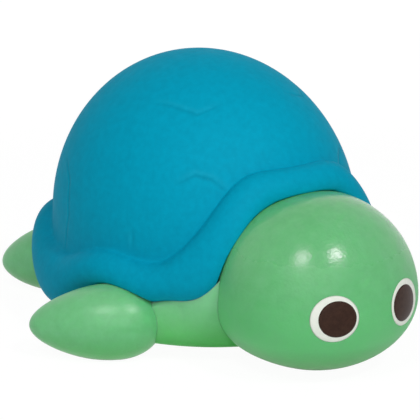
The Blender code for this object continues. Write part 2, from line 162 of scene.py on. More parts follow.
class Wire:
    # a socket of a node tree: sums written with it add Math nodes
    def __init__(self, tree, socket=None):
        self.tree = tree
        self.socket = socket

    def add(self, kind, settings=None, sockets=None, output=0):
        # any node: its settings first, then the values or links of its sockets
        made = self.tree.nodes.new(kind)
        for key, value in (settings or {}).items():
            setattr(made, key, value)
        for key, value in (sockets or {}).items():
            slot = made.inputs[key] if isinstance(key, int) else next(
                s for s in made.inputs if key in (s.identifier, s.name))
            if isinstance(value, Wire):
                self.tree.links.new(value.socket, slot)
            else:
                slot.default_value = value
        return Wire(self.tree, made.outputs[output] if len(made.outputs) else None)

    def sum(self, operation, first, second=0.0):
        return self.add("ShaderNodeMath", {"operation": operation}, {0: first, 1: second})

    def __add__(self, other):
        return self.sum("ADD", self, other)

    def __sub__(self, other):
        return self.sum("SUBTRACT", self, other)

    def __rsub__(self, other):
        return self.sum("SUBTRACT", other, self)

    def __mul__(self, other):
        return self.sum("MULTIPLY", self, other)

    def __truediv__(self, other):
        return self.sum("DIVIDE", self, other)

    def __pow__(self, other):
        return self.sum("POWER", self, other)

    def clipped(self):
        return self.add("ShaderNodeMath", {"operation": "MAXIMUM", "use_clamp": True}, {0: self, 1: 0.0})

    def mixed(self, low, high):
        # a colour between two, by this value
        return self.add("ShaderNodeMix", {"data_type": "RGBA"},
                        {"Factor_Float": self, "A_Color": low, "B_Color": high}, "Result")

    def bell(self):
        # 1 where this value is 0, falling off to either side
        return self.sum("POWER", math.e, self ** 2.0 * -1.0)

    def place(self):
        return self.add("ShaderNodeTexCoord", output="Object")

    def height(self):
        # metres above the floor
        return self.add("ShaderNodeSeparateXYZ", sockets={"Vector": self.place()}, output="Z")

    def noise(self, pattern):
        # fractal noise, 0 to 1 about a half; a pattern is waves for each metre, detail and roughness
        scale, detail, rough = pattern
        return self.add("ShaderNodeTexNoise", sockets={"Vector": self.place(), "Scale": scale, "Detail": detail,
                                                       "Roughness": rough})

    def swing(self, pattern, gain):
        # noise about zero
        return (self.noise(pattern) - 0.5) * gain

    def above(self, pattern, start, gain):
        # 0 to 1 where noise is over a level
        return ((self.noise(pattern) - start) * gain).clipped()


def newFinish(name):
    made = bpy.data.materials.new(name)
    made.use_nodes = True
    made.node_tree.nodes.clear()
    return made, Wire(made.node_tree)


def finishOff(wire, colour, roughness, height, fixed):
    # a vinyl surface: height is in millimetres and goes in as a bump
    normal = wire.add("ShaderNodeBump", sockets={"Strength": 1.0, "Distance": metre, "Height": height})
    sockets = {"Base Color": colour, "Roughness": roughness, "Normal": normal}
    shader = wire.add("ShaderNodeBsdfPrincipled", sockets={**sockets, **fixed})
    wire.add("ShaderNodeOutputMaterial", sockets={"Surface": shader})


# Soft matte vinyl of the shell: fine grain, faint mottling, scuffs in patches, plate grooves with a ridge beside them.
# Painted light: the colour is lighter towards the top, the grooves take painted shade, the ridges a painted highlight.
# A share is how much of a mark shows in the colour; grain, wave, ridge and grooveDepth are heights in millimetres
shellFinish = {"deep": fromScreen(0, 146, 177), "light": fromScreen(0, 166, 199), "grooveShade": fromScreen(0, 126, 154),
               "scuffAndSheen": fromScreen(60, 185, 207), "paintedLightFrom": 0.014, "paintedLightTo": 0.050, "paintedLightShare": 0.4, "tone": 0.3,
               "mottle": (620.0, 5.0, 0.66), "mottleGain": 1.2,
               "speck": (1500.0, 1.0, 0.5), "speckFrom": 0.74, "speckGain": 14.0, "speckShare": 0.45,
               "patch": (45.0, 2.0, 0.5), "patchFrom": 0.52, "patchGain": 6.0,
               "grooveWidth": 0.42, "grooveDepth": 0.11, "grooveShadeShare": 0.45,
               "ridgeAt": 0.9, "ridgeWidth": 0.55, "ridge": 0.08, "ridgeSheenShare": 0.10,
               "fine": (1700.0, 3.0, 0.6), "grain": 0.016, "long": (240.0, 2.0, 0.5), "wave": 0.018,
               "uneven": (420.0, 3.0, 0.5), "unevenBy": 0.16, "roughness": 0.62, "gloss": 0.04}


def shellVinyl():
    made, wire = newFinish("shellVinyl")
    look = shellFinish
    # painted light: the shell's colour gets lighter with height, standing in for light from above
    paintedTopLight = ((wire.height() - look["paintedLightFrom"]) / (look["paintedLightTo"] - look["paintedLightFrom"])).clipped()
    mottle = wire.swing(look["mottle"], look["mottleGain"]) + paintedTopLight * look["paintedLightShare"] + look["tone"]
    patch = wire.above(look["patch"], look["patchFrom"], look["patchGain"])
    speck = wire.above(look["speck"], look["speckFrom"], look["speckGain"]) * patch
    off = wire.add("ShaderNodeAttribute", {"attribute_name": "grooveOff"}, output="Fac")
    deep = wire.add("ShaderNodeAttribute", {"attribute_name": "grooveDeep"}, output="Fac")
    inLine = (off / look["grooveWidth"]).bell() * deep
    beside = ((off - look["ridgeAt"]) / look["ridgeWidth"]).bell() * deep
    colour = mottle.clipped().mixed(look["deep"], look["light"])
    # painted shade: a darker colour along the groove lines, where shade falls in the recess
    colour = (inLine * look["grooveShadeShare"]).mixed(colour, look["grooveShade"])
    # the scuff colour marks real scuffs in the specks and a painted highlight along the ridge beside each groove
    colour = (speck * look["speckShare"] + beside * look["ridgeSheenShare"]).mixed(colour, look["scuffAndSheen"])
    grain = wire.noise(look["fine"]) * look["grain"] + wire.noise(look["long"]) * look["wave"]
    height = grain + beside * look["ridge"] - inLine * look["grooveDepth"]
    rough = wire.noise(look["uneven"]) * look["unevenBy"] + (look["roughness"] - look["unevenBy"] / 2)
    finishOff(wire, colour, rough, height, {"Specular IOR Level": look["gloss"]})
    return made


# Smooth semi-gloss vinyl of head, body, flippers and plug. Painted shade: low is the colour near the floor, darker
# towards it. Painted light: band is a paler belt round the height paintedLightAt, lifting parts that lie in shade.
# Dull is what the roughness gains towards the floor, soak how far light spreads inside
headGreen = {"deep": (96, 189, 119), "light": (106, 196, 128), "low": (74, 158, 70), "floorShadeFrom": 0.0, "floorShadeTo": 0.009,
             "paintedLightBand": (108, 208, 131), "paintedLightAt": 0.010, "paintedLightReach": 0.012, "roughness": 0.22, "dull": 0.32,
             "gloss": 0.55, "tint": (1.0, 0.75, 0.95, 1.0), "soak": 0.0010}
# painted light: the body's colours are lighter than the head's, to offset the shade it lies in under the rim
bodyGreen = {"deep": (130, 206, 150), "light": (139, 213, 159), "low": (88, 189, 93), "floorShadeFrom": 0.003,
             "floorShadeTo": 0.015, "paintedLightBand": (139, 213, 159), "paintedLightAt": 0.018, "paintedLightReach": 0.006, "roughness": 0.44,
             "dull": 0.1, "gloss": 0.3, "tint": (1.0, 1.0, 1.0, 1.0), "soak": 0.0010}
flipperGreen = {"deep": (104, 193, 126), "light": (114, 201, 136), "low": (76, 188, 90), "floorShadeFrom": 0.0,
                "floorShadeTo": 0.007, "paintedLightBand": (124, 206, 149), "paintedLightAt": 0.024, "paintedLightReach": 0.008, "roughness": 0.28,
                "dull": 0.07, "gloss": 0.58, "tint": (1.0, 0.95, 1.0, 1.0), "soak": 0.0012}
plugGreen = {"deep": (70, 152, 92), "light": (80, 162, 102), "low": (66, 146, 86), "floorShadeFrom": -0.001, "floorShadeTo": 0.006,
             "paintedLightBand": (80, 162, 102), "paintedLightAt": 0.006, "paintedLightReach": 0.004, "roughness": 0.42, "dull": 0.0,
             "gloss": 0.4, "tint": (1.0, 1.0, 1.0, 1.0), "soak": 0.0010}
greenRelief = {"cloud": (70.0, 4.0, 0.55), "cloudGain": 2.0, "mottle": (430.0, 4.0, 0.62), "mottleGain": 2.4,
               "tone": 0.5, "pore": (900.0, 2.0, 0.5), "poreFrom": 0.66, "poreGain": 5.0, "poreShare": 0.12,
               "poreShade": 0.86, "long": (110.0, 2.0, 0.5), "wave": 0.03, "fine": (1500.0, 2.0, 0.5), "grain": 0.05,
               "uneven": (240.0, 4.0, 0.6), "unevenBy": 0.14, "dullFrom": 0.019, "dullTo": 0.030,
               "soakWeight": 0.8, "soakRadius": (0.3, 1.0, 0.4)}


def greenVinyl(name, look):
    made, wire = newFinish(name)
    relief = greenRelief
    high = wire.height()
    low = ((look["floorShadeTo"] - high) / (look["floorShadeTo"] - look["floorShadeFrom"])).clipped()
    paintedLightBelt = (1.0 - wire.sum("ABSOLUTE", high - look["paintedLightAt"]) / look["paintedLightReach"]).clipped()
    worn = ((relief["dullTo"] - high) / (relief["dullTo"] - relief["dullFrom"])).clipped() * look["dull"]
    cloud = wire.swing(relief["cloud"], relief["cloudGain"]) + wire.swing(relief["mottle"], relief["mottleGain"])
    pore = wire.above(relief["pore"], relief["poreFrom"], relief["poreGain"])
    colour = (cloud + relief["tone"]).clipped().mixed(fromScreen(*look["deep"]), fromScreen(*look["light"]))
    shade = fromScreen(*(relief["poreShade"] * v for v in look["deep"]))
    colour = (pore * relief["poreShare"]).mixed(colour, shade)
    # painted light: a paler belt at a given height, lifting parts that lie in shade
    colour = paintedLightBelt.mixed(colour, fromScreen(*look["paintedLightBand"]))
    # painted shade: the low colour darkens the piece towards the floor
    colour = low.mixed(colour, fromScreen(*look["low"]))
    height = wire.noise(relief["long"]) * relief["wave"] + wire.noise(relief["fine"]) * relief["grain"]
    rough = wire.noise(relief["uneven"]) * relief["unevenBy"] + worn + (look["roughness"] - relief["unevenBy"] / 2)
    finishOff(wire, colour, rough, height, {
        "Specular IOR Level": look["gloss"], "Specular Tint": look["tint"], "Subsurface Weight": relief["soakWeight"],
        "Subsurface Radius": relief["soakRadius"], "Subsurface Scale": look["soak"]})
    return made


# Printed eyes: a white that takes a little green, a brown-black with fine flecks
whiteInk = {"deep": (232, 238, 226), "light": (243, 245, 237), "fleck": (700.0, 4.0, 0.65), "roughness": 0.34}
pupilInk = {"deep": (48, 27, 18), "light": (62, 39, 28), "fleck": (1100.0, 4.0, 0.65), "roughness": 0.32}
inkRelief = {"fleckGain": 2.6, "tone": 0.35, "uneven": (500.0, 3.0, 0.5), "unevenBy": 0.12,
             "fine": (1300.0, 2.0, 0.5), "grain": 0.005, "gloss": 0.16}


def printInk(name, look):
    made, wire = newFinish(name)
    relief = inkRelief
    patchy = (wire.swing(look["fleck"], relief["fleckGain"]) + relief["tone"]).clipped()
    colour = patchy.mixed(fromScreen(*look["deep"]), fromScreen(*look["light"]))
    rough = wire.noise(relief["uneven"]) * relief["unevenBy"] + (look["roughness"] - relief["unevenBy"] / 2)
    height = wire.noise(relief["fine"]) * relief["grain"]
    finishOff(wire, colour, rough, height, {"Specular IOR Level": relief["gloss"]})
    return made


shellMaterial = shellVinyl()
headMaterial = greenVinyl("headVinyl", headGreen)
bodyMaterial = greenVinyl("bodyVinyl", bodyGreen)
flipperMaterial = greenVinyl("flipperVinyl", flipperGreen)
plugMaterial = greenVinyl("plugVinyl", plugGreen)
whiteMaterial = printInk("eyeWhite", whiteInk)
pupilMaterial = printInk("pupilBrown", pupilInk)
print("finishes made:", len(bpy.data.materials))


# The shell: dome, soft crease, rolled rim that rises over head and flippers; clear is below zero because the lip
# presses into them. Rises and drops have a height, an angle from the front and a spread, overHead a power at the end
dome = {"middleY": 10.3, "halfWidth": 33.8, "halfLength": 39.9, "level": 23.7, "height": 39.5, "wall": 2.4}
shell = {"crease": 18.0, "overHead": (25.2, 41.5, 5.2), "overFront": (4.3, 77.0, 26.0),
         "overRear": (5.0, 148.0, 40.0), "drop": 9.2, "cheekDrop": (8.0, 34.5, 21.5),
         "sideDrop": (4.5, 110.0, 35.0), "proud": (3.9, 5.6), "clear": -0.04, "innerClear": 0.5, "columns": 600,
         "domeRows": 60, "domeBunch": 1.25, "rimRows": 30, "underRows": 10, "innerRows": 30, "searchRows": 241,
         "rimEase": 2, "innerEase": 3, "creaseSoft": (4, 9.0), "lipSoft": (1, 4.0), "softShare": 1.4,
         "pressAbove": 6, "pressBelow": 3}


def domePoints(turn, fall, inset):
    # an ellipsoid above its widest level and a straight wall below: place, way out and way down
    wide, long, high = (dome[k] - inset for k in ("halfWidth", "halfLength", "height"))
    capped = np.minimum(fall, np.pi / 2)
    out, lean = np.sin(capped), np.cos(capped)
    place = np.stack([-wide * out * np.sin(turn), dome["middleY"] - long * out * np.cos(turn),
                      dome["level"] + high * (lean - (fall - capped))], -1)
    down = np.stack([-wide * lean * np.sin(turn), -long * lean * np.cos(turn), -high * out], -1)
    normal = np.stack([-out * np.sin(turn) / wide, -out * np.cos(turn) / long, lean / high], -1)
    return place, unit(normal), unit(down)


def domeNormal(points):
    # the way out at points on the dome
    radii = np.array([dome["halfWidth"], dome["halfLength"], dome["height"]])
    return unit((points - [0.0, dome["middleY"], dome["level"]]) / radii ** 2)


def creaseFall(angle):
    # how far round from the top the crease lies: a level line that rises over head and flippers
    rise, near, power = shell["overHead"]
    crease = shell["crease"] + rise / (1 + (np.abs(angle) / near) ** power)
    crease = crease + bump(angle, *shell["overFront"]) + bump(angle, *shell["overRear"])
    lift = (crease - dome["level"]) / dome["height"]
    return np.where(lift > 0, np.arccos(np.clip(lift, 0, 1)), np.pi / 2 - lift)


def rimDrop(angle):
    return shell["drop"] + bump(angle, *shell["cheekDrop"]) + bump(angle, *shell["sideDrop"])


def rimPoints(angle, t):
    # half an ellipse below the crease: along the dome by the cosine, out from it by the sine
    edge, normal, down = domePoints(np.radians(angle), creaseFall(angle), 0.0)
    proud = shell["proud"][0] + (shell["proud"][1] - shell["proud"][0]) * np.abs(angle) / 180
    along = rimDrop(angle) * 0.5 * (1 - np.cos(np.pi * t))
    return edge + down * along[..., None] + normal * (proud * np.sin(np.pi * t))[..., None]


# The tub that carries everything: flat belly, rounded bilge, straight wall up to a collar inside the shell
tub = {"belly": 2.0, "flat": 0.90, "bilge": 4.2, "collar": 31.0, "collarGap": 0.6, "wall": 2.4, "fit": 0.3,
       "seat": 0.04, "columns": 240, "bilgeRows": 13, "wallRows": 9, "bellyRings": (0.3, 0.6, 0.8),
       "roofRings": (0.9, 0.6, 0.3), "edge": 0.5, "toolEdge": 0.2, "holeDepth": 4.8, "holeColumns": 48}
tubShrink = math.sqrt(1 - ((tub["collar"] - dome["level"]) / (dome["height"] - dome["wall"])) ** 2)
tubWide = (dome["halfWidth"] - dome["wall"]) * tubShrink - tub["collarGap"]
tubLong = (dome["halfLength"] - dome["wall"]) * tubShrink - tub["collarGap"]


def tubSurface(name, inset, top, edge):
    # rows of (share of the half axes, inward step, height) carried round the tub's ellipse
    low, rise = tub["belly"] + inset, tub["bilge"] - inset
    quarter = np.linspace(0, np.pi / 2, tub["bilgeRows"])
    bilge = np.stack([tub["flat"] + (1 - tub["flat"]) * np.sin(quarter), quarter * 0,
                      low + rise * (1 - np.cos(quarter))], -1)
    straight = np.linspace(low + rise, top - edge, tub["wallRows"] + 1)[1:]
    wall = np.stack([straight * 0 + 1, straight * 0, straight], -1)
    lip = np.stack([quarter * 0 + 1, edge * (1 - np.cos(quarter)), top - edge + edge * np.sin(quarter)], -1)
    belly = np.array([[share, 0.0, low] for share in tub["bellyRings"]])
    roof = np.array([[share, 0.0, top] for share in tub["roofRings"]])
    rows = np.concatenate([belly, bilge, wall, lip[1:], roof])
    turn = np.linspace(0, 2 * np.pi, tub["columns"], endpoint=False)
    wide = (tubWide - inset) * rows[:, :1] - rows[:, 1:2]
    long = (tubLong - inset) * rows[:, :1] - rows[:, 1:2]
    rings = np.stack([wide * np.sin(turn), dome["middleY"] - long * np.cos(turn),
                      np.broadcast_to(rows[:, 2:], (len(rows), len(turn)))], -1)
    return closedSurface(name, rings, (0, dome["middleY"], low), (0, dome["middleY"], top))


# The body's swelling that fills the space under the rim, as proud as that space is high, and hugs the rim's underside.
# Its profile is an arc: out and up have a middle and a swing below its waist, then above
skirt = {"front": 0.0, "side": 3.8, "low": 3.4, "least": 5.0, "full": 9.0, "bury": 1.2, "rimGap": 0.2, "hugGap": 0.06,
         "hugFrom": 0.90, "hugTo": 0.8, "hugPast": 25.0, "hugEase": 6.0, "past": 1.2, "underCollar": 0.7,
         "arcEnd": 1.15, "out": ((0.62, 0.38), (0.92, 0.08)), "up": ((0.36, 0.36), (0.36, 0.64)), "leanGain": 1.4,
         "leanFrom": 0.3, "rows": 15, "hugRows": 4}


def skirtSurface(name):
    # a swollen profile of (out, up) shares carried round from the tub's wall, then in again along the rim's underside
    angle = np.linspace(-180.0, 180.0, shell["columns"], endpoint=False)
    turn = np.radians(angle)
    crease, normal, down = domePoints(turn, creaseFall(angle), 0.0)
    lip = crease + down * rimDrop(angle)[:, None]
    top = np.minimum(lip, lip - normal * dome["wall"])[:, 2] - skirt["rimGap"]
    full = np.clip((top - skirt["least"]) / (skirt["full"] - skirt["least"]), 0, 1)
    full = (full * full * (3 - 2 * full))[:, None]
    top = np.clip(top, skirt["least"], tub["collar"] - skirt["underCollar"])
    inside = np.stack([-(tubWide - skirt["bury"]) * np.sin(turn),
                       dome["middleY"] - (tubLong - skirt["bury"]) * np.cos(turn), 0 * turn + dome["level"]], -1)
    wall, outward = domePoints(turn, np.full(len(turn), np.pi / 2), 0.0)[:2]
    proud = skirt["front"] + (skirt["side"] - skirt["front"]) * np.sin(turn) ** 2
    beside = np.clip((np.abs(angle) - skirt["hugPast"]) / skirt["hugEase"], 0, 1)
    lipOut = ((lip - wall) * outward).sum(-1) + skirt["past"]
    lean = outward * (np.maximum(lipOut - proud, 0) * beside)[:, None] * full
    least = outward * skirt["bury"] / 2
    reach = least + (wall + outward * proud[:, None] - inside - least) * full
    arc = np.linspace(-np.pi / 2, skirt["arcEnd"], skirt["rows"])

    def shares(ends, wave):
        (low, lowSwing), (high, highSwing) = ends
        return np.concatenate([[0.0], np.where(arc < 0, low + lowSwing * wave, high + highSwing * wave)])

    out, up = shares(skirt["out"], np.cos(arc)), shares(skirt["up"], np.sin(arc))
    leaning = np.clip(skirt["leanGain"] * up - skirt["leanFrom"], 0, 1)
    rings = inside + reach * out[:, None, None] + lean * leaning[:, None, None]
    rings[..., 2] = skirt["low"] + (top - skirt["low"]) * up[:, None]
    hug = rimPoints(angle, np.linspace(skirt["hugFrom"], 1, skirt["hugRows"])[:, None])
    hug[..., 2] -= skirt["hugGap"]
    inside[:, 2] = top
    outer = np.concatenate([rings[-1, :, :2], top[:, None]], -1)
    flat = outer + (inside - outer) * np.linspace(0, skirt["hugTo"], skirt["hugRows"])[:, None, None]
    return ringSurface(name, np.concatenate([rings, flat + (hug - flat) * full * beside[:, None], inside[None]]))


def snapProfile(shape, stem, start, inner, way):
    # a stem and a flange that snap through a wall; the flange's corner is a cut across and a lead-in along, then, by
    # shares of the thickness, where the widest part ends and how far it is cut back by where
    rim, thick = shape["flangeR"], way * shape["flangeThick"]
    cut, lead, wideTo, taper, taperTo = shape["corner"]
    return [(0, start), (stem, start), (stem, inner), (rim - cut, inner), (rim, inner + way * lead),
            (rim, inner + thick * wideTo), (rim - taper, inner + thick * taperTo), (stem, inner + thick),
            (0, inner + thick)]


# The head: an egg with a taller crown than chin and a squarer back, a neck stem snapped through the tub
head = {"centre": (0.0, -35.4, 15.8), "halfWidth": 22.9, "halfLength": 20.4, "crown": 23.3, "chin": 16.1,
        "backPower": 2.5, "backFrom": -0.2, "backTo": 0.7, "wall": 3.9, "neck": 6.2, "holeDepth": 7.2, "bore": 4.0,
        "boreDepth": 9.6, "flangeR": 8.6, "flangeThick": 1.4, "corner": (0.3, 0.25, 0.5, 0.4, 0.75), "bury": 2.8,
        "grid": (96, 144), "dishGrid": (64, 96), "hollowGrid": (32, 48), "neckColumns": 64}
headCentre = np.array(head["centre"])
headAxes = np.array([head["halfWidth"], head["halfLength"], head["crown"]])
headBack = headCentre + np.array([0.0, head["halfLength"], 0.0])


def fullness(way):
    # how far the head's back stands past an egg, by direction: 1 in front, more at the corners behind
    back = np.clip((way[..., 1] - head["backFrom"]) / (head["backTo"] - head["backFrom"]), 0, 1)
    power = 2 + (head["backPower"] - 2) * back * back * (3 - 2 * back)
    return (np.abs(way) ** power[..., None]).sum(-1) ** (-1 / power)


def eggRings(grow, rows, columns):
    # x and y follow the sine of the angle from the crown, z its cosine, higher above the middle than below
    polar = np.linspace(0, np.pi, rows + 2)[1:-1, None]
    turn = np.linspace(0, 2 * np.pi, columns, endpoint=False)[None, :]
    way = np.stack([np.sin(polar) * np.sin(turn), -np.sin(polar) * np.cos(turn), np.cos(polar) + 0 * turn], -1)
    high = np.where(way[..., 2] > 0, head["crown"], head["chin"])
    size = np.stack([0 * high + head["halfWidth"], 0 * high + head["halfLength"], high], -1) + grow
    return headCentre + way * fullness(way)[..., None] * size


def eggSurface(name, grow, grid, floor=None):
    rings = eggRings(grow, *grid)
    last = headCentre - [0, 0, head["chin"] + grow]
    if floor is not None:
        rings[..., 2] = np.maximum(rings[..., 2], floor)
        last[2] = max(last[2], floor)
    return closedSurface(name, rings, headCentre + [0, 0, head["crown"] + grow], last)


# Flippers: a ball drawn out from root to tip; each end is a step out and a step back from the tub's wall at the peg,
# and a height
flippers = {
    "front": {"root": (-0.9, -5.9, 8.6), "tip": (23.5, 12.6, 7.0), "breadth": 10.6, "height": 10.7, "peg": 64.0},
    "rear": {"root": (-4.0, -5.0, 10.6), "tip": (10.6, 15.7, 5.7), "breadth": 9.2, "height": 10.1, "peg": 144.0},
    "taper": 0.40, "pegR": 2.7, "flangeR": 3.8, "flangeThick": 1.4, "corner": (0.3, 0.2, 0.5, 0.3, 0.7), "bury": 2.8,
    "clear": 0.04, "rows": 72, "columns": 96, "pegColumns": 40}
pegHeight = tub["belly"] + tub["bilge"] + flippers["flangeR"]


def wallPoint(angle, side):
    # a point of the tub's outer wall at an angle from straight ahead, and the way out
    turn = math.radians(angle)
    point = np.array([side * tubWide * math.sin(turn), dome["middleY"] - tubLong * math.cos(turn), pegHeight])
    return point, unit(np.array([side * math.sin(turn) / tubWide, -math.cos(turn) / tubLong, 0.0]))


def flipperFrame(pair, side):
    # the middle of a flipper, half its length, and its three directions: along, across and up
    shape = flippers[pair]
    wall = wallPoint(shape["peg"], side)[0]
    ends = np.array([[wall[0] + side * e[0], wall[1] + e[1], e[2]] for e in (shape["root"], shape["tip"])])
    along = unit(ends[1] - ends[0])
    across = unit(np.cross([0.0, 0.0, 1.0], along))
    return ends.mean(0), np.linalg.norm(ends[1] - ends[0]) / 2, along, across, np.cross(along, across)


def flipperSurface(name, pair, side, grow=0.0):
    # rings along the length: their size follows a half circle and thins towards the tip
    shape = flippers[pair]
    middle, half, along, across, up = flipperFrame(pair, side)
    t = -np.cos(np.linspace(0, np.pi, flippers["rows"] + 2))[1:-1, None, None]
    turn = np.linspace(0, 2 * np.pi, flippers["columns"], endpoint=False)[None, :, None]
    size, slim = np.sqrt(1 - t ** 2), 1 - flippers["taper"] * (0.5 + 0.5 * t)
    rings = (middle + along * t * (half + grow) + across * np.cos(turn) * size * (shape["breadth"] * slim + grow)
             + up * np.sin(turn) * size * (shape["height"] * slim + grow))
    rings[..., 2] = np.maximum(rings[..., 2], -grow)
    return closedSurface(name, rings, middle - along * (half + grow), middle + along * (half + grow))


def pegSurface(name, angle, side):
    # a stem through the wall with a mushroom flange on the inside
    point, normal = wallPoint(angle, side)
    sag = flippers["flangeR"] ** 2 / (2 * (tubWide - tub["wall"]) ** 2 / (tubLong - tub["wall"]))
    inner = -(tub["wall"] + tub["fit"] + sag)
    profile = snapProfile(flippers, flippers["pegR"], flippers["bury"], inner, -1)
    return turnedSurface(name, profile, point, normal, flippers["pegColumns"])


def drill(name, point, axis, radius, depth):
    profile = [(0, -depth), (radius, -depth), (radius, depth), (0, depth)]
    return turnedSurface(name, profile, point, axis, tub["holeColumns"])


def makeTub():
    body = tubSurface("turtleBody", 0.0, tub["collar"], tub["edge"])
    carve(body, skirtSurface("skirt"), "UNION")
    hollow = tubSurface("hollow", tub["wall"], tub["collar"] + tub["wall"], tub["toolEdge"])
    carve(hollow, eggSurface("dishWall", tub["fit"] + tub["wall"], head["dishGrid"]), "DIFFERENCE")
    carve(body, hollow, "DIFFERENCE")
    carve(body, eggSurface("dish", tub["seat"], head["grid"]), "DIFFERENCE")
    neckHole = drill("neckHole", headBack, (0, 1, 0), head["neck"] + tub["fit"], head["holeDepth"])
    carve(body, neckHole, "DIFFERENCE")
    plugHole = drill("plugHole", (0, dome["middleY"], tub["belly"]), (0, 0, 1), plug["hole"], tub["holeDepth"])
    carve(body, plugHole, "DIFFERENCE")
    for pair in ("front", "rear"):
        for side in (1, -1):
            socket = flipperSurface("socket", pair, side, flippers["clear"])
            carve(socket, tubSurface("socketCore", tub["fit"], tub["collar"], tub["toolEdge"]), "DIFFERENCE")
            carve(body, socket, "DIFFERENCE")
            point, normal = wallPoint(flippers[pair]["peg"], side)
            pegHole = drill("pegHole", point, normal, flippers["pegR"] + tub["fit"], tub["holeDepth"])
            carve(body, pegHole, "DIFFERENCE")
    settle(body, "body", "toy", bodyMaterial, carved=True)


def makeHead():
    egg = eggSurface("turtleHead", 0.0, head["grid"], floor=0.0)
    profile = snapProfile(head, head["neck"], -head["bury"], tub["wall"] + 2 * tub["fit"], 1)
    carve(egg, turnedSurface("neckStem", profile, headBack, (0, 1, 0), head["neckColumns"]), "UNION")
    carve(egg, eggSurface("headHollow", -head["wall"], head["hollowGrid"]), "DIFFERENCE")
    carve(egg, drill("neckBore", headBack, (0, 1, 0), head["bore"], head["boreDepth"]), "DIFFERENCE")
    settle(egg, "head", "toy", headMaterial, carved=True)


def makeFlippers():
    for pair in ("front", "rear"):
        for side, word in ((1, "left"), (-1, "right")):
            node = "flipper_" + pair + "_" + word
            flipper = flipperSurface(pair + "Flipper" + word.title(), pair, side)
            carve(flipper, tubSurface("wallCut", -flippers["clear"], tub["collar"], tub["toolEdge"]), "DIFFERENCE")
            carve(flipper, pegSurface("peg", flippers[pair]["peg"], side), "UNION")
            settle(flipper, node, "toy", flipperMaterial, carved=True)


# Eyes: thin round prints laid on the head's curve. The tilt is for the left eye, then the right; a lift is how far the
# print stands off the head at its edge and in its middle
eye = {"turn": 28.2, "tilt": {1: 4.2, -1: 3.2}, "radius": 5.3, "pupil": 4.1, "shift": 0.6, "wide": 1.05,
       "whiteLift": (0.03, 0.12), "pupilLift": (0.14, 0.20), "edgePower": 10, "rows": 22, "columns": 96}


def eyeFrame(side, shift):
    # the middle of an eye on the egg and the way out there; a shift moves it towards the middle line
    turn, tilt = math.radians(eye["turn"]), math.radians(eye["tilt"][side])
    ray = np.array([side * math.sin(turn) * math.cos(tilt), -math.cos(turn) * math.cos(tilt), math.sin(tilt)])
    local = ray / np.linalg.norm(ray / headAxes)
    normal = unit(local / headAxes ** 2)
    inward = unit(np.array([-side, 0, 0]) + side * normal[0] * normal)
    return headCentre + local + inward * shift, normal


def printSurface(name, side, radius, shift, lift):
    # a disc laid on the egg along its own normal: top rows outwards, then the underside back in
    point, normal = eyeFrame(side, shift)
    across = unit(np.cross([0.0, 0.0, 1.0], normal))
    aside = np.cross(normal, across)
    reach = np.linspace(0, 1, eye["rows"])[1:, None, None]
    turn = np.linspace(0, 2 * np.pi, eye["columns"], endpoint=False)[None, :, None]
    flat = point - headCentre + radius * reach * (eye["wide"] * across * np.cos(turn) + aside * np.sin(turn))

    def onEgg(start):
        # where a line along the eye's normal meets the egg: the nearer root of a quadratic
        high = np.where(start[..., 2:] > 0, head["crown"], head["chin"])
        axes = np.concatenate([0 * high + head["halfWidth"], 0 * high + head["halfLength"], high], -1)
        a = ((normal / axes) ** 2).sum(-1)
        b = (normal / axes * start / axes).sum(-1)
        c = ((start / axes) ** 2).sum(-1) - 1
        spot = start + ((np.sqrt(b * b - a * c) - b) / a)[..., None] * normal
        return spot, unit(spot / axes ** 2)

    spot, out = onEgg(flat)
    middle, middleOut = onEgg((point - headCentre)[None])
    low, high = lift
    rounded = low + (high - low) * np.sqrt(np.clip(1 - reach ** eye["edgePower"], 0, 1))
    rings = np.concatenate([spot + out * rounded, (spot + out * low)[-2::-1]]) + headCentre
    ends = [(middle + middleOut * step)[0] + headCentre for step in (high, low)]
    return closedSurface(name, rings, *ends)


def makeEyes():
    for side, word in ((1, "left"), (-1, "right")):
        white = printSurface("eyeWhite" + word.title(), side, eye["radius"], 0.0, eye["whiteLift"])
        settle(white, "eye_white_" + word, "toy", whiteMaterial)
        pupil = printSurface("pupil" + word.title(), side, eye["pupil"], eye["shift"], eye["pupilLift"])
        settle(pupil, "pupil_" + word, "toy", pupilMaterial)


# The stopper in the belly, with the squirt hole through it: the flange's lower edge as steps in and up, and the end
# inside as shares of its radius and its height
plug = {"radius": 5.6, "hole": 5.9, "flange": 7.8, "flangeThick": 1.0, "stand": 1.2, "squirt": 1.0, "squirtEdge": 0.2,
        "gap": 0.3, "flangeEdge": ((0.3, 0.0), (0.08, 0.1), (0.0, 0.35)),
        "end": ((1.0, 0.8), (0.97, 0.9), (0.9, 1.0)), "columns": 96}


def makePlug():
    top, low = tub["wall"] + plug["stand"], -plug["gap"] - plug["flangeThick"]
    r, rim, hole, edge = (plug[k] for k in ("radius", "flange", "squirt", "squirtEdge"))
    profile = [(hole + edge, low), *((rim - back, low + up) for back, up in plug["flangeEdge"]), (rim, -plug["gap"]),
               (r, -plug["gap"]), *((r * wide, top * high) for wide, high in plug["end"]), (hole + edge, top),
               (hole, top - edge), (hole, low + edge)]
    middle = (0, dome["middleY"], tub["belly"])
    stopper = turnedSurface("squirtPlug", profile, middle, (0, 0, 1), plug["columns"], hollow=True)
    settle(stopper, "squirt_plug", "plug", plugMaterial, carved=True)


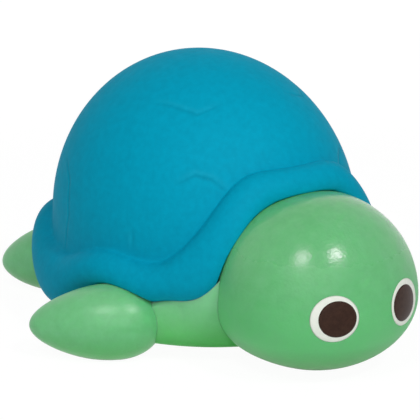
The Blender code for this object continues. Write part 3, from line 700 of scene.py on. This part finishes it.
# Plate lines on the right of the dome, mirrored to the left: points on the surface and how deep each is. The depth
# fades with the distance from the line, and the rows next to the crease stay plain
plate = {"cut": 0.07, "wide": 0.8, "far": 9.0, "fadeStart": 2.2, "fadeReach": 1.5, "rowsOff": 2}
plateLines = [
    [(-32.9, 19.4, 18.1, 0.5), (-33.1, 17.5, 27.5, 1.0), (-31.4, 19.4, 35.2, 0.9), (-29.0, 24.1, 38.6, 0.5),
     (-28.0, 26.8, 38.5, 0.0)],
    [(-19.6, 3.5, 55.1, 0.0), (-18.2, -0.4, 55.3, 0.45), (-16.7, -4.2, 54.9, 0.6), (-14.8, -8.2, 54.1, 0.7),
     (-11.5, -9.5, 55.3, 0.45), (-8.2, -9.8, 56.5, 0.0)],
    [(-24.3, -12.2, 39.7, 0.0), (-20.3, -15.4, 42.4, 0.8), (-17.9, -18.2, 41.7, 0.8), (-16.1, -21.0, 39.5, 0.3)],
    [(-30.9, -5.7, 23.8, 0.0), (-30.8, -5.9, 26.9, 0.6), (-30.6, -5.6, 29.6, 0.0)]]


def crowding(points, clear):
    # under 1 inside the room that head and flippers need to let the shell lift off, 1 at its edge,
    # and the step that takes a point straight out to the edge
    off = points - headCentre
    size = headAxes + clear
    off[..., 2] = np.maximum(off[..., 2], 0)
    least = np.linalg.norm(off / size, axis=-1)
    least = least / fullness(off / size / least[..., None])
    step = off
    for pair in ("front", "rear"):
        for side in (1, -1):
            middle, half, along, across, up = flipperFrame(pair, side)
            off = points - middle
            t, a, h = off @ along, off @ across, np.maximum(off @ up, 0)
            slim = 1 - flippers["taper"] * (0.5 + 0.5 * np.clip(t / half, -1, 1))
            size = np.stack([half + clear + 0 * t, flippers[pair]["breadth"] * slim + clear,
                             flippers[pair]["height"] * slim + clear], -1)
            depth = np.linalg.norm(np.stack([t, a, h], -1) / size, axis=-1)
            nearer = (depth < least)[..., None]
            step = np.where(nearer, t[..., None] * along + a[..., None] * across + h[..., None] * up, step)
            least = np.minimum(least, depth)
    return least, step * np.maximum(1 / least - 1, 0)[..., None]


def eased(values, reach):
    # never more than the least value nearby, and smooth round the ring
    least = np.min([np.roll(values, k) for k in range(-reach, reach + 1)], axis=0)
    weight = np.hanning(2 * reach + 3)[1:-1]
    ring = np.concatenate([least[-reach:], least, least[:reach]])
    return np.convolve(ring, weight / weight.sum(), "valid")


def firstInside(path, share, clear):
    # the share of a path, row by row, at which it first comes into the crowded space
    depth = crowding(path, clear)[0]
    inside = depth < 1
    row = np.argmax(inside, axis=0)
    column = np.arange(path.shape[1])
    before, here = depth[np.maximum(row - 1, 0), column] - 1, depth[row, column] - 1
    part = np.clip(before / np.maximum(before - here, tiny), 0, 1)
    found = share[np.maximum(row - 1, 0)] + part * (share[row] - share[np.maximum(row - 1, 0)])
    return np.where(inside.any(axis=0), found, share[-1])


def plateMarks(points):
    # signed distance to the nearest plate line and its depth there
    mirrored = points * [-1, 1, 1]
    mirrored = np.where(points[:, :1] > 0, mirrored, points)
    out = domeNormal(mirrored)
    off, deep = np.full(len(points), plate["far"]), np.zeros(len(points))
    for line in plateLines:
        for a, b in zip(np.array(line[:-1]), np.array(line[1:])):
            step = b[:3] - a[:3]
            share = np.clip((mirrored - a[:3]) @ step / (step @ step), 0, 1)
            gap = mirrored - a[:3] - share[:, None] * step
            far = np.linalg.norm(gap, axis=-1)
            sign = np.where((gap * np.cross(out, step)).sum(-1) > 0, 1.0, -1.0)
            near = far < np.abs(off)
            off = np.where(near, far * sign, off)
            deep = np.where(near, a[3] + share * (b[3] - a[3]), deep)
    return off, deep * np.clip(plate["fadeStart"] - np.abs(off) / plate["fadeReach"], 0, 1)


def makeShell():
    angle = np.linspace(-180.0, 180.0, shell["columns"], endpoint=False)
    turn, fall, drop = np.radians(angle), creaseFall(angle), rimDrop(angle)
    down = domePoints(turn, fall, 0.0)[2]

    def inside(g):
        # down the inner dome while g is under 1, then straight down beside the rim
        upper = domePoints(turn, fall * np.minimum(g, 1), dome["wall"])[0]
        return upper + down * (drop * np.maximum(g - 1, 0))[..., None]

    fine = np.linspace(0, 1, shell["searchRows"])
    clear, bunch = shell["clear"], shell["domeBunch"]
    rimEnd = eased(firstInside(rimPoints(angle, fine[:, None]), fine, clear), shell["rimEase"])
    innerEnd = firstInside(inside(2 * fine[:, None]), 2 * fine, clear + shell["innerClear"])
    innerEnd = eased(innerEnd, shell["innerEase"])
    domeShare = np.sin(bunch * np.linspace(0, 1, shell["domeRows"] + 1)[1:, None]) / math.sin(bunch)
    outer = domePoints(turn, fall * domeShare, 0.0)[0]
    rolled = rimPoints(angle, rimEnd * np.linspace(0, 1, shell["rimRows"] + 1)[1:, None])
    lip, seat = rolled[-1], inside(innerEnd[None])[0]
    u = np.linspace(0, 1, shell["underRows"] + 1)[1:-1, None, None]
    inner = inside(innerEnd * np.linspace(1, 0, shell["innerRows"] + 1)[:-1, None])
    rings = np.concatenate([outer, rolled, lip + u * (seat - lip), inner])
    # ease the rows round the crease and round the lip, each in its own small window
    row = np.arange(len(rings))
    lipRow = shell["domeRows"] + shell["rimRows"] - 1
    for at, (times, reach) in ((shell["domeRows"] - 1, shell["creaseSoft"]), (lipRow, shell["lipSoft"])):
        weight = np.clip(shell["softShare"] - np.abs(row - at) / reach, 0, 1)[1:-1, None, None]
        for _ in range(times):
            rings[1:-1] += weight * (0.25 * rings[:-2] + 0.25 * rings[2:] - 0.5 * rings[1:-1])
    low = slice(lipRow - shell["pressAbove"], lipRow + shell["underRows"] + shell["pressBelow"])
    rings[low] += crowding(rings[low], clear)[1]
    top = np.array([0.0, dome["middleY"], dome["level"] + dome["height"]])
    piece = closedSurface("turtleShell", rings, top, top - [0, 0, dome["wall"]])
    points = np.empty(len(piece.data.vertices) * 3)
    piece.data.vertices.foreach_get("co", points)
    points = points.reshape(-1, 3) / metre
    off, deep = plateMarks(points)
    deep = deep * (np.arange(len(deep)) <= shell["columns"] * (shell["domeRows"] - plate["rowsOff"]))
    # the grooves are pressed into the dome along its normal, in a bell section; the finish adds their sharp line
    points -= domeNormal(points) * (plate["cut"] * deep * np.exp(-(off / plate["wide"]) ** 2))[:, None]
    piece.data.vertices.foreach_set("co", (points * metre).ravel())
    for name, values in (("grooveOff", off), ("grooveDeep", deep)):
        piece.data.attributes.new(name, "FLOAT", "POINT").data.foreach_set("value", values.astype(np.float32))
    settle(piece, "shell", "cap", shellMaterial)


makeTub()
makeHead()
makeEyes()
makeFlippers()
makePlug()
makeShell()


# Studio: a white floor that keeps a faint shadow, weak even light, two round lamps and a wide pale card in front.
# Each lamp has the way it lies from the toy, the angle it spans and the light it gives a white sheet facing it
studio = {"fill": 0.25, "floor": 0.94, "floorHalf": 4.0, "floorLow": -0.0002, "shadow": 0.07, "shadowFar": 0.16,
          "white": 1.03, "plainWhite": (1, 1, 1, 1), "lampFar": 1.1, "lampsAim": (0.0, -0.02, 0.03),
          "lamps": {"broadLamp": ((-0.518, -0.371, 0.771), 15.0, 0.25),
                    "smallLamp": ((0.045, -0.656, 0.754), 8.5, 0.28),
                    "frontCard": ((-0.560, -0.770, 0.300), 54.0, 0.22)}}


def seenDirectly(wire):
    # 1 for what the camera sees itself or in a reflection
    names = ("Is Camera Ray", "Is Glossy Ray", "Is Transmission Ray")
    rays = [wire.add("ShaderNodeLightPath", output=name) for name in names]
    return (rays[0] + rays[1] + rays[2]).clipped()


def makeStudio():
    world = bpy.data.worlds.new("studioWorld")
    scene.world = world
    world.use_nodes = True
    world.node_tree.nodes.clear()
    wire = Wire(world.node_tree)
    plainWhite = studio["plainWhite"]
    soft = wire.add("ShaderNodeBackground", sockets={"Color": plainWhite, "Strength": studio["fill"]})
    white = wire.add("ShaderNodeBackground", sockets={"Color": plainWhite, "Strength": 1.0})
    both = wire.add("ShaderNodeMixShader", sockets={0: seenDirectly(wire), 1: soft, 2: white})
    wire.add("ShaderNodeOutputWorld", sockets={"Surface": both})

    mesh = bpy.data.meshes.new("studioFloor")
    size, low = studio["floorHalf"], studio["floorLow"]
    mesh.from_pydata([(-size, -size, low), (size, -size, low), (size, size, low), (-size, size, low)], [],
                     [(0, 1, 2, 3)])
    floor = bpy.data.objects.new("studioFloor", mesh)
    scene.collection.objects.link(floor)
    made, wire = newFinish("studioFloor")
    matte = wire.add("ShaderNodeBsdfDiffuse", sockets={"Color": (studio["floor"],) * 3 + (1,)})
    glow = wire.add("ShaderNodeEmission", sockets={"Color": plainWhite, "Strength": studio["white"]})
    far = wire.add("ShaderNodeVectorMath", {"operation": "LENGTH"}, {0: wire.place()}, "Value") / studio["shadowFar"]
    shown = seenDirectly(wire) * (1 - (2 - far).clipped() * studio["shadow"])
    surface = wire.add("ShaderNodeMixShader", sockets={0: shown, 1: matte, 2: glow})
    wire.add("ShaderNodeOutputMaterial", sockets={"Surface": surface})
    mesh.materials.append(made)

    for name, (way, span, level) in studio["lamps"].items():
        lamp = bpy.data.lights.new(name, "AREA")
        lamp.shape = "DISK"
        lamp.size = 2 * studio["lampFar"] * math.tan(math.radians(span / 2))
        lamp.energy = level * (math.pi * studio["lampFar"]) ** 2
        holder = bpy.data.objects.new(name, lamp)
        way = Vector(way).normalized()
        holder.matrix_world = (Matrix.Translation(Vector(studio["lampsAim"]) + way * studio["lampFar"])
                               @ way.to_track_quat("Z", "Y").to_matrix().to_4x4())
        scene.collection.objects.link(holder)
    print("studio lit by", len(studio["lamps"]), "lamps")


# Camera at the photograph's angle, a long lens
view = {"azimuth": -34.98, "elevation": 16.26, "far": 0.700, "near": 0.01, "halfFrame": 0.050, "right": 0.00144,
        "up": 0.02391}


def makeCamera():
    turn, tilt = math.radians(view["azimuth"]), math.radians(view["elevation"])
    back = Vector((math.sin(turn) * math.cos(tilt), -math.cos(turn) * math.cos(tilt), math.sin(tilt)))
    right = Vector((math.cos(turn), math.sin(turn), 0.0))
    up = back.cross(right)
    place = Vector((0, dome["middleY"] * metre, 0)) + back * view["far"] + right * view["right"] + up * view["up"]
    lens = bpy.data.cameras.new("photoCamera")
    lens.sensor_fit = "AUTO"
    lens.angle = 2 * math.atan(view["halfFrame"] / view["far"])
    lens.clip_start = view["near"]
    camera = bpy.data.objects.new("photoCamera", lens)
    camera.matrix_world = Matrix.Translation(place) @ Matrix((right, up, back)).transposed().to_4x4()
    scene.collection.objects.link(camera)
    scene.camera = camera


makeStudio()
makeCamera()
scene.view_settings.view_transform = "Standard"

bpy.context.view_layer.update()
